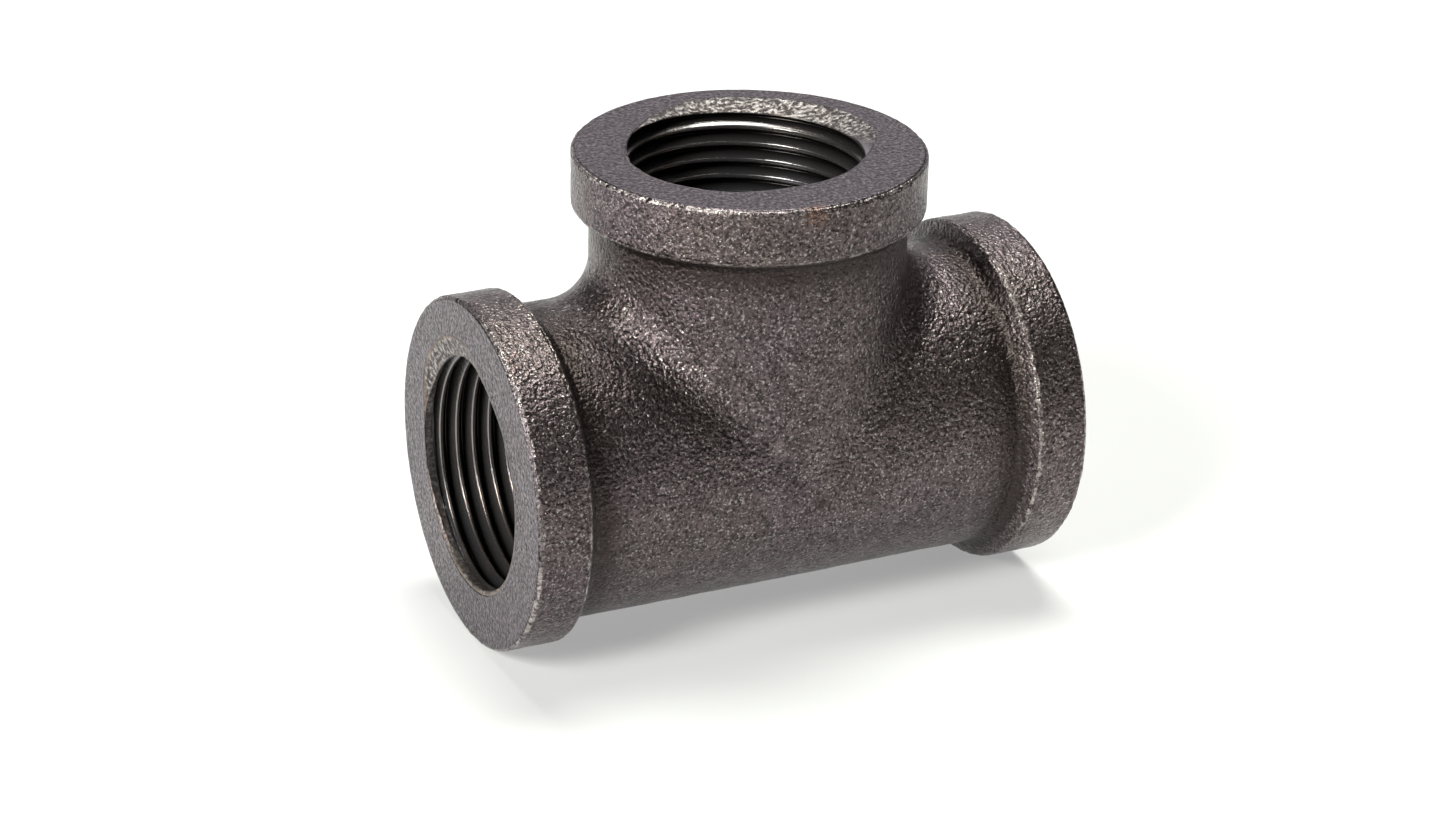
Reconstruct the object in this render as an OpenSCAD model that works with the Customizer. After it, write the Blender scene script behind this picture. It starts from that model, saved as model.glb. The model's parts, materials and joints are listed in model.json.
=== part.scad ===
// Malleable iron pipe tee with a raised band round each of its three tapped outlets.
// The run lies along X, the branch points up +Z, and the origin is where their centre lines cross.

/* [Body] */
// Distance from the centre of the tee to the end face of each outlet
centre_to_end = 38.1; // [36:0.1:44]
// Outside diameter of the cast barrels between the bands
barrel_d = 40.5; // [39:0.1:42]
// Diameter of the waterway that crosses behind the threads
waterway_d = 33.6; // [33.6:0.1:34.2]
// Radius of the saddle fillet where the branch runs into the run
crotch_r = 6; // [3:0.5:7]

/* [Bands] */
// Outside diameter of the band at each end of the run
run_band_d = 45.4; // [44.6:0.1:50]
// Outside diameter of the band on the branch
branch_band_d = 45; // [44.6:0.1:50]
// Width of a band from its end face to its inner shoulder
band_w = 8.8; // [7.7:0.1:9.2]
// Rounding of the inner shoulder of a band
shoulder_r = 1.6; // [0.8:0.1:1.8]
// Fillet in the corner where a band meets its barrel
corner_r = 0.8; // [0.4:0.1:1.2]
// Rounding of the outer edge of an end face
rim_r = 0.5; // [0.2:0.1:1]

/* [Sockets] */
// Bore of a tapped socket, at the crests of its threads
socket_d = 29.36; // [29:0.02:30]
// Length of a tapped socket behind its end face
socket_l = 15.4; // [14.8:0.1:17]
// Depth of the countersunk mouth of a socket
mouth_l = 1.2; // [0.6:0.1:1.6]
// Length of the bevel where a socket opens into the waterway
back_l = 1; // [0.4:0.1:2]

/* [Hidden] */
barrel_r = barrel_d / 2;
waterway_r = waterway_d / 2;
socket_r = socket_d / 2;
past = 1;

// The ball that rolls along the crotch dips this far into both barrels, so the fillet crosses them cleanly
fillet_bite = 0.05;
fillet_rings = 28;
fillet_steps = 8;
fillet_sweep = 83;
fillet_core = 0.7;

$fn = 96;

// Turns the +Z axis to -X, the left end of the run
module to_left() {
    rotate([0, -90, 0]) children();
}

// Turns the +Z axis to +X, the right end of the run
module to_right() {
    rotate([0, 90, 0]) children();
}

// A solid round bar along X, as long as the run and a little past it where asked
module run_bar(r, extra) {
    to_right() {
        translate([0, 0, -centre_to_end - extra]) cylinder(r = r, h = 2 * (centre_to_end + extra));
    }
}

// Half section of a band: rounded rim at the end face, rounded shoulder and filleted corner inside
module band_section(band_r) {
    inner = centre_to_end - band_w;
    difference() {
        union() {
            difference() {
                translate([0, inner]) square([band_r, band_w]);
                translate([band_r - rim_r, centre_to_end - rim_r]) square(rim_r + past);
                translate([band_r - shoulder_r, inner - past]) square(shoulder_r + past);
            }
            translate([band_r - rim_r, centre_to_end - rim_r]) circle(r = rim_r);
            translate([band_r - shoulder_r, inner + shoulder_r]) circle(r = shoulder_r);
            difference() {
                translate([barrel_r, inner - corner_r]) square(corner_r);
                translate([barrel_r + corner_r, inner - corner_r]) circle(r = corner_r);
            }
        }
        square([barrel_r, centre_to_end + past]);
    }
}

// A band standing on +Z
module band(band_r) {
    rotate_extrude() band_section(band_r);
}

// The tapped lining of one outlet, standing on +Z, with its countersunk mouth at the end face
module socket() {
    mouth = centre_to_end - mouth_l;
    back = centre_to_end - socket_l;
    rotate_extrude() polygon([
        [waterway_r, centre_to_end],
        [socket_r, mouth],
        [socket_r, back + back_l],
        [(socket_r + waterway_r) / 2, back],
        [waterway_r, back],
    ]);
}

// The fillet's rolling ball: its radius, the radius it touches and the circle its centre follows
touch_r = barrel_r - fillet_bite;
ball_path_r = touch_r + crotch_r;

// Ball centre at angle b along the crotch
function ball_centre(b) = [ball_path_r * cos(b), ball_path_r * sin(b), ball_path_r * cos(b)];

// Unit directions from the ball to the run barrel and to the branch barrel
function to_run(b) = [0, -sin(b), -cos(b)];
function to_branch(b) = [-cos(b), -sin(b), 0];

// Point at fraction u of the arc between the two touches
function arc_point(b, u) =
    let (between = acos(to_run(b) * to_branch(b)))
    ball_centre(b) + crotch_r * (sin((1 - u) * between) * to_run(b)
        + sin(u * between) * to_branch(b)) / sin(between);

// One cross section of the fillet: its arc and a corner buried where both barrels overlap
function fillet_ring(b) = [
    for (k = [0 : fillet_steps]) arc_point(b, k / fillet_steps),
    [fillet_core * touch_r * cos(b), fillet_core * touch_r * sin(b), fillet_core * touch_r * cos(b)],
];

// Fillet of the crotch on the +X side
module crotch_fillet() {
    count = fillet_steps + 2;
    rings = [for (i = [0 : fillet_rings])
        fillet_ring(-fillet_sweep + 2 * fillet_sweep * i / fillet_rings)];
    points = [for (ring = rings) each ring];
    sides = [for (i = [0 : fillet_rings - 1], k = [0 : count - 1]) each [
        [i * count + k, i * count + (k + 1) % count, (i + 1) * count + k],
        [i * count + (k + 1) % count, (i + 1) * count + (k + 1) % count, (i + 1) * count + k],
    ]];
    last = fillet_rings * count;
    first_cap = [for (k = [0 : count - 3]) [count - 1, k + 1, k]];
    last_cap = [for (k = [0 : count - 3]) [last + count - 1, last + k, last + k + 1]];
    polyhedron(points = points, faces = concat(sides, first_cap, last_cap));
}

module run_barrel() {
    color("dimgray") difference() {
        run_bar(barrel_r, 0);
        run_bar(waterway_r, past);
        cylinder(r = waterway_r, h = barrel_r + past);
    }
}

module branch_neck() {
    color("slategray") difference() {
        union() {
            cylinder(r = barrel_r, h = centre_to_end);
            crotch_fillet();
            mirror([1, 0, 0]) crotch_fillet();
        }
        run_bar(barrel_r, past);
        cylinder(r = waterway_r, h = centre_to_end + past);
    }
}

module left_band() {
    color("steelblue") to_left() band(run_band_d / 2);
}

module right_band() {
    color("cadetblue") to_right() band(run_band_d / 2);
}

module branch_band() {
    color("lightsteelblue") band(branch_band_d / 2);
}

module left_socket() {
    color("peru") to_left() socket();
}

module right_socket() {
    color("sandybrown") to_right() socket();
}

module branch_socket() {
    color("burlywood") socket();
}

run_barrel();
branch_neck();
left_band();
right_band();
branch_band();
left_socket();
right_socket();
branch_socket();
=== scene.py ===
import json
import math

import bmesh
import bpy
import numpy as np
from mathutils import Matrix, Vector, noise


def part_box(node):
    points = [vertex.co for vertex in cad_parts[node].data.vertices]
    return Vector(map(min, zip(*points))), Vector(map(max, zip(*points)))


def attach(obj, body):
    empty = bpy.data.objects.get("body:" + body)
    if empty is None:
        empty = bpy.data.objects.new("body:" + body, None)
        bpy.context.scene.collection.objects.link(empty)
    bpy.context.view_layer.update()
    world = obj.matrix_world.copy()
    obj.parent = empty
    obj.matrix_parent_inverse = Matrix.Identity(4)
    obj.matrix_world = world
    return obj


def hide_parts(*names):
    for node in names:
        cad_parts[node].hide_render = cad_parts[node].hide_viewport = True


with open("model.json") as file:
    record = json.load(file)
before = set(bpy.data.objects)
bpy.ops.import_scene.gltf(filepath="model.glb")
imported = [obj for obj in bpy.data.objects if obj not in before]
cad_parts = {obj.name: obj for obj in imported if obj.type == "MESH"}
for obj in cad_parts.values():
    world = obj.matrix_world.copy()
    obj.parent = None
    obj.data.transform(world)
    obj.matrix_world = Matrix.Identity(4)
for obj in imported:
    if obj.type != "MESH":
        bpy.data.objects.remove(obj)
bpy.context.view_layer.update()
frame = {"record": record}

# All shape work is in millimetres, and turns to metres when a mesh is made.
MM = 0.001


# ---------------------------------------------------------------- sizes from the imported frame

def high(node):
    """A node's highest corner, in millimetres."""
    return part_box(node)[1] / MM


BARREL_R = high("run_barrel").y
WATERWAY_R = high("branch_socket").x
RUN_BAND_R = high("right_band").y
BRANCH_BAND_R = high("branch_band").x
END = high("right_band").x
SOCKET_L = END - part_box("right_socket")[0].x / MM
CREST_R = {m["name"]: m["dims"]["r_mm"] for m in frame["record"]["mounts"]}["run_way"]

# The crotch fillets, and a band's shoulder: a hollow, a straight slope and a fairly sharp ridge
FILLET_R = 6.0
INNER_FILLET_R = 1.5
BAND_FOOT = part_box("right_band")[0].x / MM
HOLLOW_R, RIDGE_R, SLOPE, RIM_R = 1.9, 0.6, 60.0, 0.5

# The foot of each band dips this far into the barrel, so that a fine crease shows there
CREASE_DIP = 0.08
# Shade is painted beside the crease over about this width
CREASE_W = 2.6
# The barrels carry on to here under the bands, which overlap their ends by this much
BARREL_REACH = BAND_FOOT + 1.8
BAND_LAP = 0.5

# 1-11.5 taper pipe thread. At the mouth its crests are this much wider than the CAD's plain bore.
PITCH = 25.4 / 11.5
THREAD_DEPTH = 1.6
TAPER = 1 / 32
CREST_OVER = 0.17
# A mouth's edge is at least this much wider than the plain bore
MOUTH_OVER = 0.1
# The last threads run out on a cone that narrows this much per millimetre towards the mouth
RUN_OUT = 1.2
# A thread fades in over this length, the inner end of a mouth's plain strip
THREAD_FADE = 0.4
# A socket's lip thins out over this depth, and its cast chamfer falls this much per millimetre
LIP_L = 0.9
CHAMFER_FALL = 0.28

# In a socket's masks: how far a soft edge fades, and how wide the wear is along the chamfer's foot, on
# the lip and on the crests
MASK_FADE, EDGE_W, LIP_W, CREST_W = 0.15, 0.2, 0.22, 0.06

# Small marks on the front: a pit with shade painted in and around it, a rubbed patch, and a spot of rust on
# the branch band
PIT = Vector((1.3, -19.9, -2.8))
PIT_R, PIT_DEPTH, PIT_SHADE_R = 0.7, 0.22, 1.0
SCUFF = Vector((-4.4, -19.5, 4.9))
SCUFF_R = 1.4
RUST = Vector((-1.85, -22.2, 37.2))

# The rounded rim of an end face loses up to this much where it is chipped
CHIP_DEPTH = 0.16

# How finely the pieces are divided
CASTING_RIBS, OUTER_STEPS, INNER_STEPS = 184, 132, 40
BAND_TURNS, SOCKET_TURNS = 441, 361
# Points across an end face, and the rows that close a band inside the casting
FACE_POINTS, HIDDEN_ROWS = 20, 2
# Corners closer than this are one corner, in metres
SAME_CORNER = 2e-6


# ---------------------------------------------------------------- sheets of points
# A sheet is a grid of points: x, y, z, wear and painted shade, face. The fourth runs from -1 where shade is
# painted into hollows to 1 on rubbed edges. "face" is 1 on the end faces and on the rough chamfer in a
# mouth. The materials read both.

def sheet(points, wear_and_shade=0.0, face=0.0):
    """A grid of points with its two masks."""
    grid = np.zeros(points.shape[:2] + (5,))
    grid[..., :3] = points
    grid[..., 3] = wear_and_shade
    grid[..., 4] = face
    return grid


def at_all(points, value):
    """value(point) for every point of a grid."""
    flat = points.reshape(-1, 3).tolist()
    return np.array([value(Vector(p)) for p in flat]).reshape(points.shape[:-1])


def sand_skin(p):
    """Depth of the as-cast skin below the nominal surface at p, never above it."""
    swell = noise.noise(p * 0.075) * 0.07
    lumps = noise.noise(p * 0.42 + Vector((7, 3, 1))) * 0.05
    sand = noise.noise(p * 1.15) * 0.035
    pit = PIT_DEPTH * math.exp(-((p - PIT).length / PIT_R) ** 2)
    return min(0.0, -0.13 + swell + lumps + sand) - pit


def roughen(points, normals):
    """Moves a grid of points down to the as-cast skin."""
    return points + normals * at_all(points, sand_skin)[..., None]


# ---------------------------------------------------------------- placing the three arms

def on_branch(p):
    return p


def on_left(p):
    return np.stack([-p[..., 2], p[..., 1], p[..., 0]], axis=-1)


def on_right(p):
    return np.stack([p[..., 2], p[..., 1], -p[..., 0]], axis=-1)


def revolve(r, a, turns):
    """Grid of the profile (r, a) turned about +Z, first and last rows the same."""
    t = turns[:, None]
    return np.stack([r * np.cos(t), r * np.sin(t), a * np.ones_like(t)], axis=-1)


def off_centre(centre, radius, t):
    """Distance from the arm's axis to a circle round another centre, along angle t."""
    along = centre[0] * np.cos(t) + centre[1] * np.sin(t)
    across = centre[0] * np.sin(t) - centre[1] * np.cos(t)
    return along + np.sqrt(np.maximum(radius ** 2 - across ** 2, 0))


def mouth_edge(mouth, t):
    """Where a socket's mouth meets the end face, along angle t round the tap's centre.

    It is the tapped circle, widened where the cast chamfer has its lobes.
    """
    edge = np.full_like(t, CREST_R + MOUTH_OVER)
    for height, angle, width in mouth["lobes"]:
        away = np.angle(np.exp(1j * (t - math.radians(angle))))
        edge += height * np.exp(-(away / width) ** 4)
    return edge


def mouth_from_axis(mouth, turns):
    """The same edge, along angles round the arm's own axis."""
    t = np.linspace(0, 2 * np.pi, 1441)
    r = mouth_edge(mouth, t)
    x, y = mouth["tap"][0] + r * np.cos(t), mouth["tap"][1] + r * np.sin(t)
    return np.interp(turns, np.arctan2(y, x), np.hypot(x, y), period=2 * np.pi)


# ---------------------------------------------------------------- the casting

def crotch_side(side, radius, fillet, reach, ribs, steps):
    """Skin from one run end over the crotch to the branch end, as ribs of even points.

    A ball of the fillet's radius rolls along the crotch, and each rib follows the run barrel, the
    ball and the branch barrel. Returns the points and their normals.
    """
    b = np.radians(np.linspace(-90, 90, ribs + 1))[:, None]
    u = np.linspace(0, 1, steps + 1)[None, :]
    sin_b, cos_b = np.sin(b), np.abs(np.cos(b))
    straight = reach - (radius + fillet) * cos_b
    between = np.arccos(np.clip(sin_b ** 2, -1, 1 - 1e-12))
    length = 2 * straight + fillet * between
    s = u * length
    v = np.clip((s - straight) / (fillet * between), 0, 1)
    to_run = np.stack([0 * b, -sin_b, -cos_b], axis=-1)
    to_branch = np.stack([-cos_b, -sin_b, 0 * b], axis=-1)
    w = between[..., None]
    ball = (np.sin((1 - v)[..., None] * w) * to_run + np.sin(v[..., None] * w) * to_branch) / np.sin(w)
    centre = np.stack([cos_b, sin_b, cos_b], axis=-1) * (radius + fillet)
    points = centre + fillet * ball
    points[..., 0] += np.maximum(straight - s, 0)
    points[..., 2] += np.maximum(s - straight - fillet * between, 0)
    flip = np.array([side, 1, 1])
    return points * flip, -ball * flip


def under_side(radius, reach, ribs, steps):
    """The lower half of the run barrel."""
    b = np.radians(np.linspace(-90, 90, ribs + 1))[:, None]
    x = np.linspace(-reach, reach, steps + 1)[None, :]
    one = np.ones_like(x)
    normals = np.stack([0 * b * one, np.sin(b) * one, -np.abs(np.cos(b)) * one], axis=-1)
    points = normals * radius
    points[..., 0] = x
    return points, normals


def crossing(radius, fillet, ribs, steps):
    """The three sheets of a tee-shaped skin with their normals: two crotches and the underside."""
    return [
        crotch_side(-1, radius, fillet, BARREL_REACH, ribs, steps),
        crotch_side(1, radius, fillet, BARREL_REACH, ribs, steps),
        under_side(radius, BARREL_REACH, ribs, steps),
    ]


def casting_wear_and_shade(points):
    """Painted shade beside the bands' feet and in and around the pit, and one rubbed patch."""
    along = np.maximum(np.abs(points[..., 0]), points[..., 2])
    # Painted shade, darkest at the bands' feet and fading away from them
    crease_shade = np.exp(-(np.maximum(BAND_FOOT - along, 0) / CREASE_W) ** 1.5)
    rubbed = np.exp(-(np.linalg.norm(points - np.array(SCUFF), axis=-1) / SCUFF_R) ** 2)
    # Painted shade in and around the pit
    pit = np.exp(-(np.linalg.norm(points - np.array(PIT), axis=-1) / PIT_SHADE_R) ** 2)
    return 0.8 * rubbed - np.maximum(crease_shade, pit)


def casting():
    """The barrels and the neck, one skin outside and the waterway inside, closed under the bands."""
    nominal = crossing(BARREL_R, FILLET_R, CASTING_RIBS, OUTER_STEPS)
    outer = [roughen(points, normals) for points, normals in nominal]
    inner = [points for points, _ in crossing(WATERWAY_R, INNER_FILLET_R, CASTING_RIBS, INNER_STEPS)]
    caps = []
    for sheet_no, column in ((0, 0), (0, -1), (1, 0), (1, -1), (2, 0), (2, -1)):
        caps.append(np.stack([outer[sheet_no][:, column], inner[sheet_no][:, column]], axis=1))
    sheets = [sheet(g, casting_wear_and_shade(g)) for g in outer] + [sheet(g) for g in inner + caps]
    piece("body_casting", sheets, "cast_skin", "run_barrel", "branch_neck")


# ---------------------------------------------------------------- the bands

def arc(r, a, radius, start, end, count, outward=1):
    """Points of an arc in the (r, a) plane with their normals: columns r, a, normal r, normal a."""
    t = np.radians(np.linspace(start, end, count))
    c, s = np.cos(t), np.sin(t)
    return np.stack([r + radius * c, a + radius * s, outward * c, outward * s], axis=1)


def line(start, end, normal, count):
    """Points of a line in the (r, a) plane with their normal."""
    t = np.linspace(0, 1, count)[:, None]
    points = np.array(start) * (1 - t) + np.array(end) * t
    return np.hstack([points, np.tile(normal, (count, 1))])


def band(name, node, place, band_r, mouth):
    """One raised band with its end face, a closed ring that reaches in under the barrel's skin.

    Each part of the profile comes with how rough it is, its wear and painted shade, and how much an end
    face it is.
    """
    slope = math.radians(SLOPE)
    rise = 1 - math.cos(slope)
    foot = BARREL_R - CREASE_DIP
    hollow_top = foot + HOLLOW_R * rise
    ridge_foot = band_r - RIDGE_R * rise
    slope_start = BAND_FOOT + HOLLOW_R * math.sin(slope)
    slope_end = slope_start + (ridge_foot - hollow_top) / math.tan(slope)
    ridge_end = slope_end + RIDGE_R * math.sin(slope)
    uphill = (math.cos(slope), -math.sin(slope))
    parts = [
        # The hollow at the foot gets painted shade (-1); the ridge and the rim are rubbed
        (arc(foot + HOLLOW_R, BAND_FOOT, HOLLOW_R, 180, 180 - SLOPE, 8, -1), 1, -1, 0),
        (line((hollow_top, slope_start), (ridge_foot, slope_end), uphill, 5), 1, 0, 0),
        (arc(band_r - RIDGE_R, ridge_end, RIDGE_R, -SLOPE, 0, 6), 1, 0.8, 0),
        (line((band_r, ridge_end), (band_r, END - RIM_R), (1, 0), 26), 1, 0, 0),
        (arc(band_r - RIM_R, END - RIM_R, RIM_R, 0, 90, 6), 1, 1, 0.4),
        (line((band_r - RIM_R, END), (WATERWAY_R, END), (0, 1), FACE_POINTS), 0.5, 0, 1),
    ]
    hidden = np.zeros((HIDDEN_ROWS, 4))
    hidden[:, :2] = (WATERWAY_R, END - LIP_L), (WATERWAY_R, BARREL_REACH - BAND_LAP)
    profile = np.vstack([p for p, _, _, _ in parts] + [hidden])
    rough, wear_and_shade, face = (
        np.concatenate([np.full(len(part[0]), part[k], float) for part in parts] + [np.zeros(HIDDEN_ROWS)])
        for k in (1, 2, 3)
    )
    turns = np.linspace(0, 2 * np.pi, BAND_TURNS)
    r = np.tile(profile[:, 0], (len(turns), 1))
    end_face = slice(-HIDDEN_ROWS - FACE_POINTS, -HIDDEN_ROWS)
    share = (band_r - RIM_R - profile[end_face, 0]) / (band_r - RIM_R - WATERWAY_R)
    rough[end_face] *= np.clip((1 - share) * 6, 0, 1)
    r[:, end_face] += share * (mouth_from_axis(mouth, turns) - WATERWAY_R)[:, None]
    points = place(revolve(r, profile[:, 1], turns))
    normals = place(revolve(profile[:, 2], profile[:, 3], turns))
    depth = at_all(points, sand_skin) * rough[None, :]
    chips = at_all(points, lambda p: max(0.0, noise.noise(p * 0.9) + 0.1))
    depth -= CHIP_DEPTH * chips * (wear_and_shade > 0.5)[None, :]
    points = points + normals * depth[..., None]
    loop = sheet(points, wear_and_shade[None, :], face[None, :])
    piece(name, [np.concatenate([loop, loop[:, :1]], axis=1)], "cast_skin", node)


# ---------------------------------------------------------------- the tapped sockets

def thread_depth(q):
    """Thread depth, 0 at the crest and 1 at the root, at fraction q of the pitch from a crest."""
    q = np.abs((q + 0.5) % 1.0 - 0.5)
    return np.clip((q - 0.04) / 0.41, 0, 1)


def socket(name, node, place, phase, mouth):
    """One tapped lining: a right-hand taper pipe thread behind the cast chamfer.

    The tap runs a little off the arm's axis, and the cored hole a little off the tap, so the crests
    on that side keep a flat. A plain strip may come between the mouth and the first thread.
    """
    turns = np.linspace(0, 2 * np.pi, SOCKET_TURNS)
    half = np.array([0, .02, .04, .07, .12, .19, .26, .33, .39, .43, .46])
    one = np.concatenate([half, [0.5], 1 - half[:0:-1]])
    first = math.floor((END - SOCKET_L) / PITCH) - 2
    count = math.ceil(SOCKET_L / PITCH) + 3
    q = np.concatenate([first + k + one for k in range(count)] + [[first + count]])
    t = turns[:, None]
    a = np.clip((q[None, :] + t / (2 * np.pi) + phase) * PITCH, END - SOCKET_L, END)
    into = END - a
    plain = mouth["plain"]
    groove = thread_depth(q)[None, :] * np.clip(1 + (into - plain) / THREAD_FADE, 0, 1)
    crest = CREST_R + CREST_OVER - into * TAPER
    cut = crest + THREAD_DEPTH * groove
    cored = off_centre(mouth["core"], crest, t)
    chamfer = mouth_edge(mouth, t) - into / CHAMFER_FALL
    tap_x, tap_y = mouth["tap"]
    seat = off_centre((-tap_x, -tap_y), WATERWAY_R, t)
    back = seat - (SOCKET_L - into) * RUN_OUT
    wall = seat + (mouth_edge(mouth, t) - seat) * np.clip(1 - into / LIP_L, 0, 1)
    r = np.minimum(np.maximum.reduce([cut, cored, chamfer, back]), wall)

    face = np.clip((chamfer - np.maximum(cut, cored)) / MASK_FADE + 0.5, 0, 1)
    sharp = np.clip(1 - np.abs(chamfer - np.maximum(cut, cored)) / EDGE_W, 0, 1)
    strip = np.clip((plain - THREAD_FADE - into) / MASK_FADE, 0, 1)
    lip = np.clip(1 - into / LIP_W, 0, 1) * (plain > 0)
    face = np.maximum(face, 0.6 * strip)
    sharp = np.maximum.reduce([sharp, lip, (r - crest < CREST_W) * (1 - face)])
    # Sharp edges are rubbed (positive); shade is painted into the grooves, darker the deeper (negative)
    wear_and_shade = sharp - np.clip((r - crest) / THREAD_DEPTH, 0, 1) * (1 - face) * (1 - sharp)
    inner = np.stack([tap_x + r * np.cos(t), tap_y + r * np.sin(t), a], axis=-1)
    ends = np.array([END - SOCKET_L, END - LIP_L, END])
    outer_r = seat + (mouth_edge(mouth, t) - seat) * np.array([0, 0, 1])
    outer_x, outer_y = tap_x + outer_r * np.cos(t), tap_y + outer_r * np.sin(t)
    outer = np.stack([outer_x, outer_y, ends * np.ones_like(t)], axis=-1)
    piece(name, [sheet(place(inner), wear_and_shade, face), sheet(place(outer))], "cut_thread", node)


# ---------------------------------------------------------------- meshes

def piece(name, sheets, slot, *nodes):
    """A closed mesh of stitched sheets, which rides on the tee and stands for the CAD nodes."""
    rows = np.concatenate([s.reshape(-1, 5) for s in sheets])
    faces, start = [], 0
    for s in sheets:
        n, m = s.shape[:2]
        grid = np.arange(start, start + n * m).reshape(n, m)
        corners = (grid[:-1, :-1], grid[1:, :-1], grid[1:, 1:], grid[:-1, 1:])
        faces.append(np.stack(corners, axis=-1).reshape(-1, 4))
        start += n * m
    mesh = bpy.data.meshes.new(name)
    mesh.from_pydata((rows[:, :3] * MM).tolist(), [], np.concatenate(faces).tolist())
    for k, mask in ((3, "wear_and_shade"), (4, "face")):
        values = mesh.attributes.new(mask, "FLOAT", "POINT").data
        values.foreach_set("value", rows[:, k].astype(np.float32))
    bm = bmesh.new()
    bm.from_mesh(mesh)
    bmesh.ops.remove_doubles(bm, verts=bm.verts, dist=SAME_CORNER)
    bmesh.ops.recalc_face_normals(bm, faces=bm.faces)
    bm.to_mesh(mesh)
    bm.free()
    mesh.polygons.foreach_set("use_smooth", np.ones(len(mesh.polygons), bool))
    mesh.materials.append(finishes[slot])
    made = bpy.data.objects.new(name, mesh)
    bpy.context.scene.collection.objects.link(made)
    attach(made, "root")
    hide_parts(*nodes)


# ---------------------------------------------------------------- materials

class Nodes:
    """A short way to lay out shader nodes."""

    def __init__(self, material):
        material.use_nodes = True
        self.tree = material.node_tree
        self.shader = self.tree.nodes["Principled BSDF"]

    def add(self, kind, out=0, settings=None, **inputs):
        """A node of that kind with its inputs set or linked, and one of its outputs."""
        made = self.tree.nodes.new("ShaderNode" + kind)
        for key, value in (settings or {}).items():
            setattr(made, key, value)
        for key, value in inputs.items():
            name = key.replace("_", " ")
            socket = made.inputs[int(key[1:])] if key[1:].isdigit() else made.inputs[name]
            self.put(socket, value)
        return made.outputs[out]

    def put(self, socket, value):
        if isinstance(value, bpy.types.NodeSocket):
            self.tree.links.new(value, socket)
        else:
            socket.default_value = value

    def noise(self, place, scale, detail=2.0, rough=0.5):
        return self.add("TexNoise", Vector=place, Scale=scale, Detail=detail, Roughness=rough)

    def ramp(self, value, low, high, a=0.0, b=1.0):
        """value taken from low..high to a..b, and held there."""
        return self.add("MapRange", Value=value, From_Min=low, From_Max=high, To_Min=a, To_Max=b)

    def maths(self, operation, a, b):
        return self.add("Math", settings={"operation": operation}, i0=a, i1=b)

    def mix(self, share, a, b):
        return self.add("Mix", out=2, settings={"data_type": "RGBA"}, i0=share, i6=a, i7=b)

    def mask(self, name):
        return self.add("Attribute", out=2, settings={"attribute_name": name})


def make_cast_skin():
    """Black malleable iron as cast: sand grain under a dark oxide, with bright rubbed edges.

    One spot of rust lies on the branch band.
    """
    material = bpy.data.materials.new("sand_cast_iron")
    n = Nodes(material)
    place = n.add("TexCoord", out=3)
    wear_and_shade, face = n.mask("wear_and_shade"), n.mask("face")

    broad = n.noise(place, 55, 3)
    mottle = n.noise(place, 420, 3)
    grain = n.noise(place, 2100, 2, 0.55)
    flecks = n.noise(place, 3000, 1)

    plum, brown = (0.134, 0.102, 0.111, 1), (0.134, 0.105, 0.101, 1)
    tint = n.mix(n.ramp(broad, 0.40, 0.60), plum, brown)
    tint = n.mix(n.ramp(mottle, 0.35, 0.65, 0.0, 0.5), tint, (0.058, 0.044, 0.048, 1))
    tint = n.mix(n.ramp(grain, 0.38, 0.56, 0.8, 0.0), tint, (0.018, 0.014, 0.014, 1))
    tint = n.mix(n.ramp(flecks, 0.58, 0.70, 0.0, 0.6), tint, (0.45, 0.42, 0.405, 1))

    speckle = n.noise(place, 2100, 2, 0.7)
    slate = n.mix(n.ramp(speckle, 0.50, 0.62), (0.064, 0.051, 0.060, 1), (0.200, 0.168, 0.186, 1))
    slate = n.mix(n.ramp(speckle, 0.38, 0.46, 0.85, 0.0), slate, (0.010, 0.008, 0.008, 1))
    tint = n.mix(face, tint, slate)

    patches = n.ramp(n.noise(place, 75, 2), 0.40, 0.60, 0.2, 1.0)
    crumbs = n.ramp(n.noise(place, 1300, 3, 0.65), 0.42, 0.58)
    rubbed = n.maths("MULTIPLY", n.maths("MULTIPLY", wear_and_shade, patches), crumbs)
    tint = n.mix(n.maths("MULTIPLY", rubbed, 0.85), tint, (0.56, 0.51, 0.48, 1))
    # Painted shade: the mask's negative values darken the hollows, the creases and the pit
    tint = n.mix(n.ramp(wear_and_shade, -1.0, 0.0, 0.82, 0.0), tint, (0.028, 0.020, 0.018, 1))
    near_rust = n.add("VectorMath", out=1, settings={"operation": "DISTANCE"}, i0=place, i1=RUST * MM)
    rust = n.maths("MULTIPLY", n.ramp(near_rust, 0.0005, 0.0022, 0.5, 0.0), crumbs)
    tint = n.mix(rust, tint, (0.24, 0.115, 0.068, 1))
    n.put(n.shader.inputs["Base Color"], tint)

    n.put(n.shader.inputs["Roughness"], n.ramp(mottle, 0.3, 0.7, 0.26, 0.38))
    n.shader.inputs["Metallic"].default_value = 0.85

    granules = n.add("TexVoronoi", Vector=place, Scale=1500.0)
    height = n.maths("ADD", n.maths("MULTIPLY", granules, -0.4), grain)
    strength = n.ramp(face, 0.0, 1.0, 1.0, 0.6)
    n.put(n.shader.inputs["Normal"], n.add("Bump", Strength=strength, Distance=0.00027, Height=height))
    return material


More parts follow.
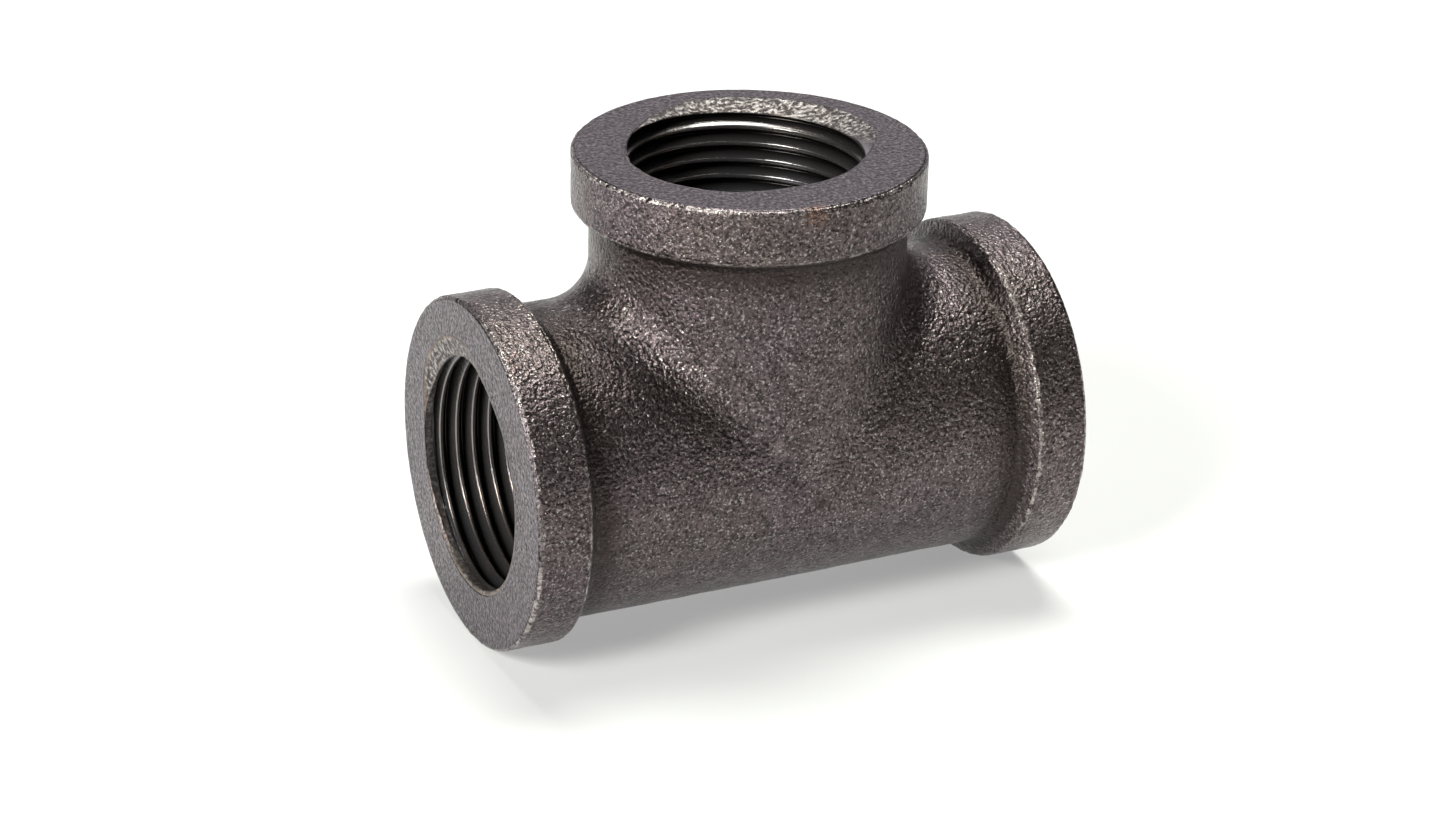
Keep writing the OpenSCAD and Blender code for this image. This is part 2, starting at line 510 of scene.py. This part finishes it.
def make_cut_thread():
    """Machined iron: satin flanks, painted shade in the roots, brown sharp edges, and a rough cast chamfer.
    """
    material = bpy.data.materials.new("machined_iron")
    n = Nodes(material)
    place = n.add("TexCoord", out=3)
    wear_and_shade, face = n.mask("wear_and_shade"), n.mask("face")

    streaks = n.noise(place, 1700, 3, 0.6)
    broad = n.noise(place, 90, 2)
    tint = n.mix(n.ramp(broad, 0.35, 0.65), (0.215, 0.208, 0.225, 1), (0.235, 0.215, 0.21, 1))
    # Painted shade in the thread roots
    tint = n.mix(n.ramp(wear_and_shade, -0.95, -0.30, 0.95, 0.0), tint, (0.012, 0.009, 0.008, 1))
    torn = n.ramp(streaks, 0.45, 0.66)
    cast = n.mix(torn, (0.050, 0.040, 0.040, 1), (0.42, 0.39, 0.375, 1))
    tint = n.mix(face, tint, cast)
    tint = n.mix(n.ramp(wear_and_shade, 0.2, 1.0, 0.0, 0.75), tint, (0.23, 0.17, 0.13, 1))
    n.put(n.shader.inputs["Base Color"], tint)

    n.put(n.shader.inputs["Roughness"], n.ramp(face, 0.0, 1.0, 0.27, 0.45))
    n.shader.inputs["Metallic"].default_value = 0.9

    strength = n.ramp(face, 0.0, 1.0, 0.15, 1.0)
    n.put(n.shader.inputs["Normal"], n.add("Bump", Strength=strength, Distance=0.0003, Height=streaks))
    return material


# ---------------------------------------------------------------- camera, floor and lights

# The camera's azimuth, elevation and roll in degrees, and how far it sits back, left and up from the
# tee's centre, along its own directions
CAMERA_TURN = (26.18, 23.96, 1.28)
CAMERA_BACK, CAMERA_LEFT, CAMERA_UP = 489.5, 2.65, 2.44
# Its lens and sensor, in real millimetres
LENS, SENSOR_W = 94.59654, 36

# The way to the floor's lit side
LIT_SIDE = (-0.86, 0.5, 0)


def view_axes(azimuth, elevation, roll):
    """The camera's right, up and back directions."""
    az, el, turn = map(math.radians, (azimuth, elevation, roll))
    back = Vector((-math.sin(az) * math.cos(el), -math.cos(az) * math.cos(el), math.sin(el)))
    right = (-back).cross(Vector((0, 0, 1))).normalized()
    up = back.cross(right)
    return (right * math.cos(turn) + up * math.sin(turn),
            up * math.cos(turn) - right * math.sin(turn), back)


def camera():
    """Half a metre off, left of the front and looking down on the tee."""
    right, up, back = view_axes(*CAMERA_TURN)
    data = bpy.data.cameras.new("camera")
    data.sensor_width = SENSOR_W
    data.lens = LENS
    data.clip_start, data.clip_end = 0.02, 20
    made = bpy.data.objects.new("camera", data)
    made.matrix_world = Matrix((right, up, back)).transposed().to_4x4()
    made.location = (back * CAMERA_BACK - right * CAMERA_LEFT + up * CAMERA_UP) * MM
    bpy.context.scene.collection.objects.link(made)
    bpy.context.scene.camera = made


def light(name, place, size, power, colour):
    """A soft box that faces the tee."""
    data = bpy.data.lights.new(name, "AREA")
    data.shape = "RECTANGLE"
    data.size, data.size_y = size
    data.energy = power
    data.color = colour
    made = bpy.data.objects.new(name, data)
    made.location = place
    made.rotation_mode = "QUATERNION"
    made.rotation_quaternion = (-Vector(place)).to_track_quat("-Z", "Y")
    made.visible_camera = False
    bpy.context.scene.collection.objects.link(made)


def studio():
    """A pale floor that glows more on its lit side and far off, a white room and soft boxes."""
    floor_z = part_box("left_band")[0].z
    mesh = bpy.data.meshes.new("floor")
    mesh.from_pydata([(x, y, floor_z) for x, y in ((-4, -4), (4, -4), (4, 4), (-4, 4))], [], [(0, 1, 2, 3)])
    floor = bpy.data.objects.new("floor", mesh)
    paint = bpy.data.materials.new("floor")
    paint.use_nodes = True
    shader = paint.node_tree.nodes["Principled BSDF"]
    shader.inputs["Base Color"].default_value = (0.50, 0.50, 0.50, 1)
    shader.inputs["Roughness"].default_value = 0.9
    shader.inputs["Emission Color"].default_value = (1, 1, 1, 1)
    glow = Nodes(paint)
    place = glow.add("TexCoord", out=3)
    towards = glow.add("VectorMath", out=1, settings={"operation": "DOT_PRODUCT"}, i0=place, i1=LIT_SIDE)
    away = glow.add("VectorMath", out=1, settings={"operation": "LENGTH"}, i0=place)
    near_tee = glow.ramp(towards, -0.03, 0.12, 0.33, 0.43)
    far_off = glow.ramp(away, 0.25, 0.90, 0.0, 0.70)
    glow.put(shader.inputs["Emission Strength"], glow.maths("ADD", near_tee, far_off))
    mesh.materials.append(paint)
    bpy.context.scene.collection.objects.link(floor)

    world = bpy.data.worlds.new("room")
    bpy.context.scene.world = world
    world.use_nodes = True
    world.node_tree.nodes["Background"].inputs["Color"].default_value = (1, 1, 1, 1)
    world.node_tree.nodes["Background"].inputs["Strength"].default_value = 1.0
    world.cycles_visibility.diffuse = False
    world.cycles_visibility.glossy = False
    bpy.context.scene.view_settings.view_transform = "Standard"

    warm, cool = (0.98, 1, 0.94), (0.99, 0.95, 1)
    light("top_box", (0.14, 0.18, 0.88), (0.5, 0.40), 11.0, warm)
    light("left_box", (-0.80, -0.42, 0.60), (0.30, 0.34), 13.5, warm)
    light("back_wall", (0.45, 1.1, 0.45), (1.4, 0.7), 2.6, cool)
    light("front_fill", (0.45, -1.2, 0.30), (0.9, 0.35), 0.4, cool)
    light("left_card", (-0.80, 0.07, 0.03), (0.22, 0.16), 2.2, cool)


camera()
studio()
finishes = {"cast_skin": make_cast_skin(), "cut_thread": make_cut_thread()}
casting()

# Each mouth: the tap's centre off the arm's axis, the cored hole's centre off the tap's, the length of
# the plain strip, and the chamfer's lobes (how far out, at what angle in degrees, how wide in radians)
left_mouth = {
    "tap": (0, 0), "core": (0.05, 0.1), "plain": 1.5,
    "lobes": ((2.8, 30, 0.72), (0.6, 180, 1.1)),
}
right_mouth = {
    "tap": (0.2, -0.1), "core": (-0.2, -0.2), "plain": 1.2,
    "lobes": ((1.6, 60, 0.7), (0.8, 200, 1.2)),
}
branch_mouth = {
    "tap": (-0.45, 0.2), "core": (0.2, 0.1), "plain": 0,
    "lobes": ((4.3, 47, 1.1), (1.4, 210, 0.75)),
}
band("left_rim_band", "left_band", on_left, RUN_BAND_R, left_mouth)
band("right_rim_band", "right_band", on_right, RUN_BAND_R, right_mouth)
band("branch_rim_band", "branch_band", on_branch, BRANCH_BAND_R, branch_mouth)
socket("left_thread", "left_socket", on_left, -0.02, left_mouth)
socket("right_thread", "right_socket", on_right, 0.4, right_mouth)
socket("branch_thread", "branch_socket", on_branch, -0.155, branch_mouth)
